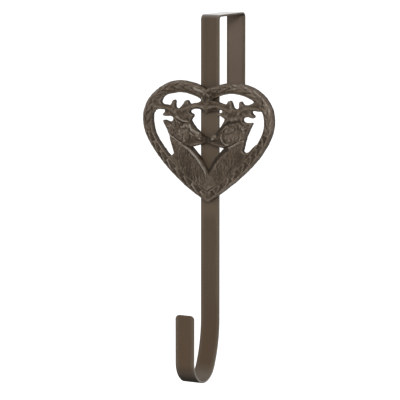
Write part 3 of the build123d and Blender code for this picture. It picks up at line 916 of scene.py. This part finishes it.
def comb(outline, tufts, leans, lengths, half_widths, rises):
    """Tufts of hair at random places inside an outline, each a low ridge with a cut beside it."""
    low = outline.min(0)
    high = outline.max(0)
    made = 0
    while made < tufts:
        root = hair_chance.uniform(low, high)
        if not inside(outline, *root):
            continue
        lean = math.radians(hair_chance.uniform(*leans))
        length = hair_chance.uniform(*lengths)
        side = ("left", "right")[hair_chance.integers(2)]
        reach = np.array((math.cos(lean), math.sin(lean))) * length
        sideways = np.array((-reach[1], reach[0])) / length
        bend = root + reach / 2 + sideways * hair_chance.uniform(-0.8, 0.8)
        width = hair_chance.uniform(*half_widths)
        rise = hair_chance.uniform(*rises) * (1.0 if side == "left" else right_hair)
        beside = np.array((width, 0.2))
        stroke([root, bend, root + reach], width, rise, 0.4, side)
        stroke([root + beside, bend + beside, root + reach + beside], 0.7 * width, -rise, 0.4, side)
        made += 1


comb(neck_outline, 70, (240, 285), (5, 10), (0.9, 1.5), (0.15, 0.42))
comb(neck_outline, 90, (248, 276), (3, 7), (0.5, 0.8), (0.1, 0.35))
comb(head_outline, 150, (10, 80), (1.8, 4.5), (0.7, 1.2), (0.2, 0.6))
print("relief after the hair:", relief.min().round(2), relief.max().round(2))

# %% [markdown]
# ## From strokes to skin
#
# So far the strokes are only numbers. Now each point of the front moves forward by its relief, the rim's
# edges are rounded off and its outline is pushed, and the joint of the antlers sags to a point. The lower
# rim is softened, and the antlers, which are round bars, more than that. Last comes the sand: smooth noise
# in three sizes, along the normals, on all but the flat back.

# %% The sand's grain
sand_rise = 0.10
sand_scale = 0.75
lump_rise = 0.24
lump_scale = 0.34


def sand_noise(points):
    """Rough and lumpy skin from the sand: three sizes of smooth noise at each point, in millimetres."""
    values = np.empty(len(points))
    for index, point in enumerate(points / MM):
        spot = Vector(point)
        fine = noise.noise(spot * sand_scale) + 0.6 * noise.noise(spot * sand_scale * 2.3)
        values[index] = sand_rise * fine + lump_rise * noise.noise(spot * lump_scale)
    return values


# %% Apply the strokes and the sand's grain
joint_sag = 2.2
joint_reach = 9.0
antler_fill = 0.25
antler_lift = 0.5
rim_softness = 0.7

places[:, 1] -= relief * facing * MM
limited = np.minimum(back_plane - places[front, 1] / MM, edge_limit)
places[front, 1] = (back_plane - limited) * MM
places[:, 0] += (widened + push_across + wall_fill * normals[:, 0]) * MM
places[:, 2] += (push_up + wall_fill * normals[:, 2]) * MM
near_joint = np.clip(1 - draw_x / joint_reach, 0, 1)
sag = joint_sag * near_joint * soft_step(93 - draw_y, 0, 4) * (draw_y > 84)
places[:, 2] -= sag * MM

on_rim_zone = 1 - soft_step(skin_inset, 8.2, 9.6)
low_rim_zone = on_rim_zone * (1 - soft_step(skin_along * rim_length, 84, 112))
softened_rim = smoothed(places, 5)
places += (softened_rim - places) * (rim_softness * low_rim_zone)[:, None]

antler_zone = soft_step(draw_y, 78, 82) * (1 - soft_step(draw_y, 97.5, 99)) * (draw_x < 60)
rounded = smoothed(places, 9)
rounded += point_normals() * antler_fill * MM
softened = smoothed(places[:, 1:2], 28)[:, 0] - antler_lift * MM
rounded[:, 1] += (softened - rounded[:, 1]) * facing
places += (rounded - places) * antler_zone[:, None] * (height > 0.6)[:, None]
places = smoothed(places, 2)
normals = point_normals()
grain_push = sand_noise(places) * (places[:, 1] < (back_plane - 0.3) * MM)
places += normals * (grain_push * MM)[:, None]
places[:, 1] = np.minimum(places[:, 1], back_plane * MM)
normals = point_normals()
print("heart box mm:", (places.min(0) / MM).round(2), (places.max(0) / MM).round(2))

# %% [markdown]
# ## Rubbed ridges, dark recesses, painted light and shade
#
# Ridges of a casting get rubbed, recesses stay dark. Comparing each point with a smoothed copy of the
# skin tells one from the other: a point that stands proud of its surroundings is on a ridge, the more so
# the higher it stands over the back. The map of painted highlights, painted shade and neck tone is added.
# The sum is stored on the mesh as an attribute, which a material can read.

# %% Measure ridges and recesses
middle_tone = 0.47
proud_span = 0.9
usual_standing = 6.8
standing_weight = 0.05
surroundings = smoothed(places, 24)
proud = ((places - surroundings) * normals).sum(1) / MM
standing = back_plane - places[:, 1] / MM
# Here the painted highlights and painted shade join the ridge measure.
ridge = middle_tone + proud / proud_span + standing_weight * (standing - usual_standing) + painted_sheen_and_shade
ridge = np.clip(ridge, 0, 1)
ridge_attribute = heart.data.attributes.new("ridge", "FLOAT", "POINT")
ridge_attribute.data.foreach_set("value", ridge.astype(np.float32))
heart.data.shade_smooth()
print("ridge quartiles:", np.quantile(ridge, (0.05, 0.25, 0.5, 0.75, 0.95)).round(3))

# %% Keep the skin light
triangle_limit = 185000
triangles = sum(len(face.vertices) - 2 for face in heart.data.polygons)
thin_out = heart.modifiers.new("thin_out", "DECIMATE")
thin_out.ratio = min(1.0, triangle_limit / triangles)
depsgraph = bpy.context.evaluated_depsgraph_get()
heart.data = bpy.data.meshes.new_from_object(heart.evaluated_get(depsgraph))
heart.modifiers.clear()
heart.name = "heart_sculpt"
heart.data.shade_smooth()
print("triangles:", triangles, "to", sum(len(face.vertices) - 2 for face in heart.data.polygons))

# %% [markdown]
# ## The casting's finish
#
# The heart has the strap's brown, but rougher: dark in the recesses, lighter and a little smoother on the
# ridges, and a pale grey painted highlight on the highest lines. The ridge attribute drives all of it, with
# its painted highlights and painted shade, broken up by the shared mottle.

# %% Heart material
cold_patch = (0.034, 0.0275, 0.0185, 1)
warm_patch = (0.074, 0.0445, 0.0225, 1)
# Dark patina in the recesses, and painted shade where the map darkens.
patina_and_shade_tone = (0.008, 0.0062, 0.0045, 1)
cast_mottle_tone = (0.040, 0.027, 0.0155, 1)
# Rubbed ridges, and painted highlight where the map brightens.
rubbed_and_sheen_tone = (0.128, 0.094, 0.066, 1)
# Painted highlight: pale grey glints.
glint_tone = (0.215, 0.188, 0.156, 1)

cast_heart, cast_tree, cast_shader = new_material("cast_heart")
cast_grain = place_group(cast_tree, grain_group, {"Grain Scale": 1500.0, "Mottle Scale": 110.0})
ridge_value = add_node(cast_tree, "ShaderNodeAttribute", {"attribute_name": "ridge"})
cast_rub_and_sheen = place_group(cast_tree, rub_group, {"Raggedness": 0.35})
join(cast_tree, ridge_value.outputs["Fac"], cast_rub_and_sheen.inputs["Edge"])
join(cast_tree, cast_grain.outputs["Mottle"], cast_rub_and_sheen.inputs["Mottle"])

cast_patches = place_group(cast_tree, grain_group, {"Grain Scale": 900.0, "Mottle Scale": 330.0})
recess_share = ramp(cast_tree, ridge_value.outputs["Fac"], 0.12, 0.55)
cast_tones = mix_colours(cast_tree, cast_patches.outputs["Mottle"], cold_patch, warm_patch)
cast_base = mix_colours(cast_tree, recess_share, patina_and_shade_tone, cast_tones)
cast_mottled = mix_colours(cast_tree, cast_grain.outputs["Mottle"], cast_base, cast_mottle_tone)
cast_rubbed_and_sheen = mix_colours(cast_tree, cast_rub_and_sheen.outputs["Rubbed"], cast_mottled, rubbed_and_sheen_tone)
# Painted highlight: pale grey on the highest ridges and on the painted bright lines.
glint_share = ramp(cast_tree, ridge_value.outputs["Fac"], 0.86, 1.0)
cast_glints = mix_colours(cast_tree, glint_share, cast_rubbed_and_sheen, glint_tone)
cast_gloss = ramp(cast_tree, cast_rub_and_sheen.outputs["Rubbed"], 0.3, 1.0, 0.0, 0.4)
join(cast_tree, cast_gloss, cast_shader.inputs["Coat Weight"])
cast_shader.inputs["Coat Roughness"].default_value = 0.3
cast_shader.inputs["Specular IOR Level"].default_value = 0.22
join(cast_tree, cast_glints, cast_shader.inputs["Base Color"])
cast_roughness = ramp(cast_tree, ridge_value.outputs["Fac"], 0.2, 0.8, 0.68, 0.46)
join(cast_tree, cast_roughness, cast_shader.inputs["Roughness"])
cast_bump = add_node(cast_tree, "ShaderNodeBump", inputs={"Strength": 0.4, "Distance": 0.12 * MM})
join(cast_tree, cast_grain.outputs["Grain"], cast_bump.inputs["Height"])
join(cast_tree, cast_bump.outputs["Normal"], cast_shader.inputs["Normal"])

heart.data.materials.clear()
heart.data.materials.append(cast_heart)
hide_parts("heart_casting")
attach(heart, "root")
print("heart material nodes:", len(cast_tree.nodes))

# %% [markdown]
# ## Screws
#
# The two screws sit in the strap's back, out of the picture. Plain dulled steel is enough for them, with
# the shared grain for a finish that isn't mirror smooth.

# %% Screw material
screw_steel, steel_tree, steel_shader = new_material("screw_steel")
steel_grain = place_group(steel_tree, grain_group, {"Grain Scale": 3000.0, "Mottle Scale": 500.0})
steel_tone = mix_colours(
    steel_tree, steel_grain.outputs["Mottle"], (0.36, 0.35, 0.33, 1), (0.5, 0.49, 0.47, 1)
)
join(steel_tree, steel_tone, steel_shader.inputs["Base Color"])
steel_roughness = ramp(steel_tree, steel_grain.outputs["Mottle"], 0, 1, 0.34, 0.5)
join(steel_tree, steel_roughness, steel_shader.inputs["Roughness"])
steel_shader.inputs["Metallic"].default_value = 1.0
steel_bump = add_node(steel_tree, "ShaderNodeBump", inputs={"Strength": 0.3, "Distance": 0.03 * MM})
join(steel_tree, steel_grain.outputs["Grain"], steel_bump.inputs["Height"])
join(steel_tree, steel_bump.outputs["Normal"], steel_shader.inputs["Normal"])
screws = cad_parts["back_screws"]
screws.data.materials.clear()
screws.data.materials.append(screw_steel)
print("screw material nodes:", len(steel_tree.nodes))
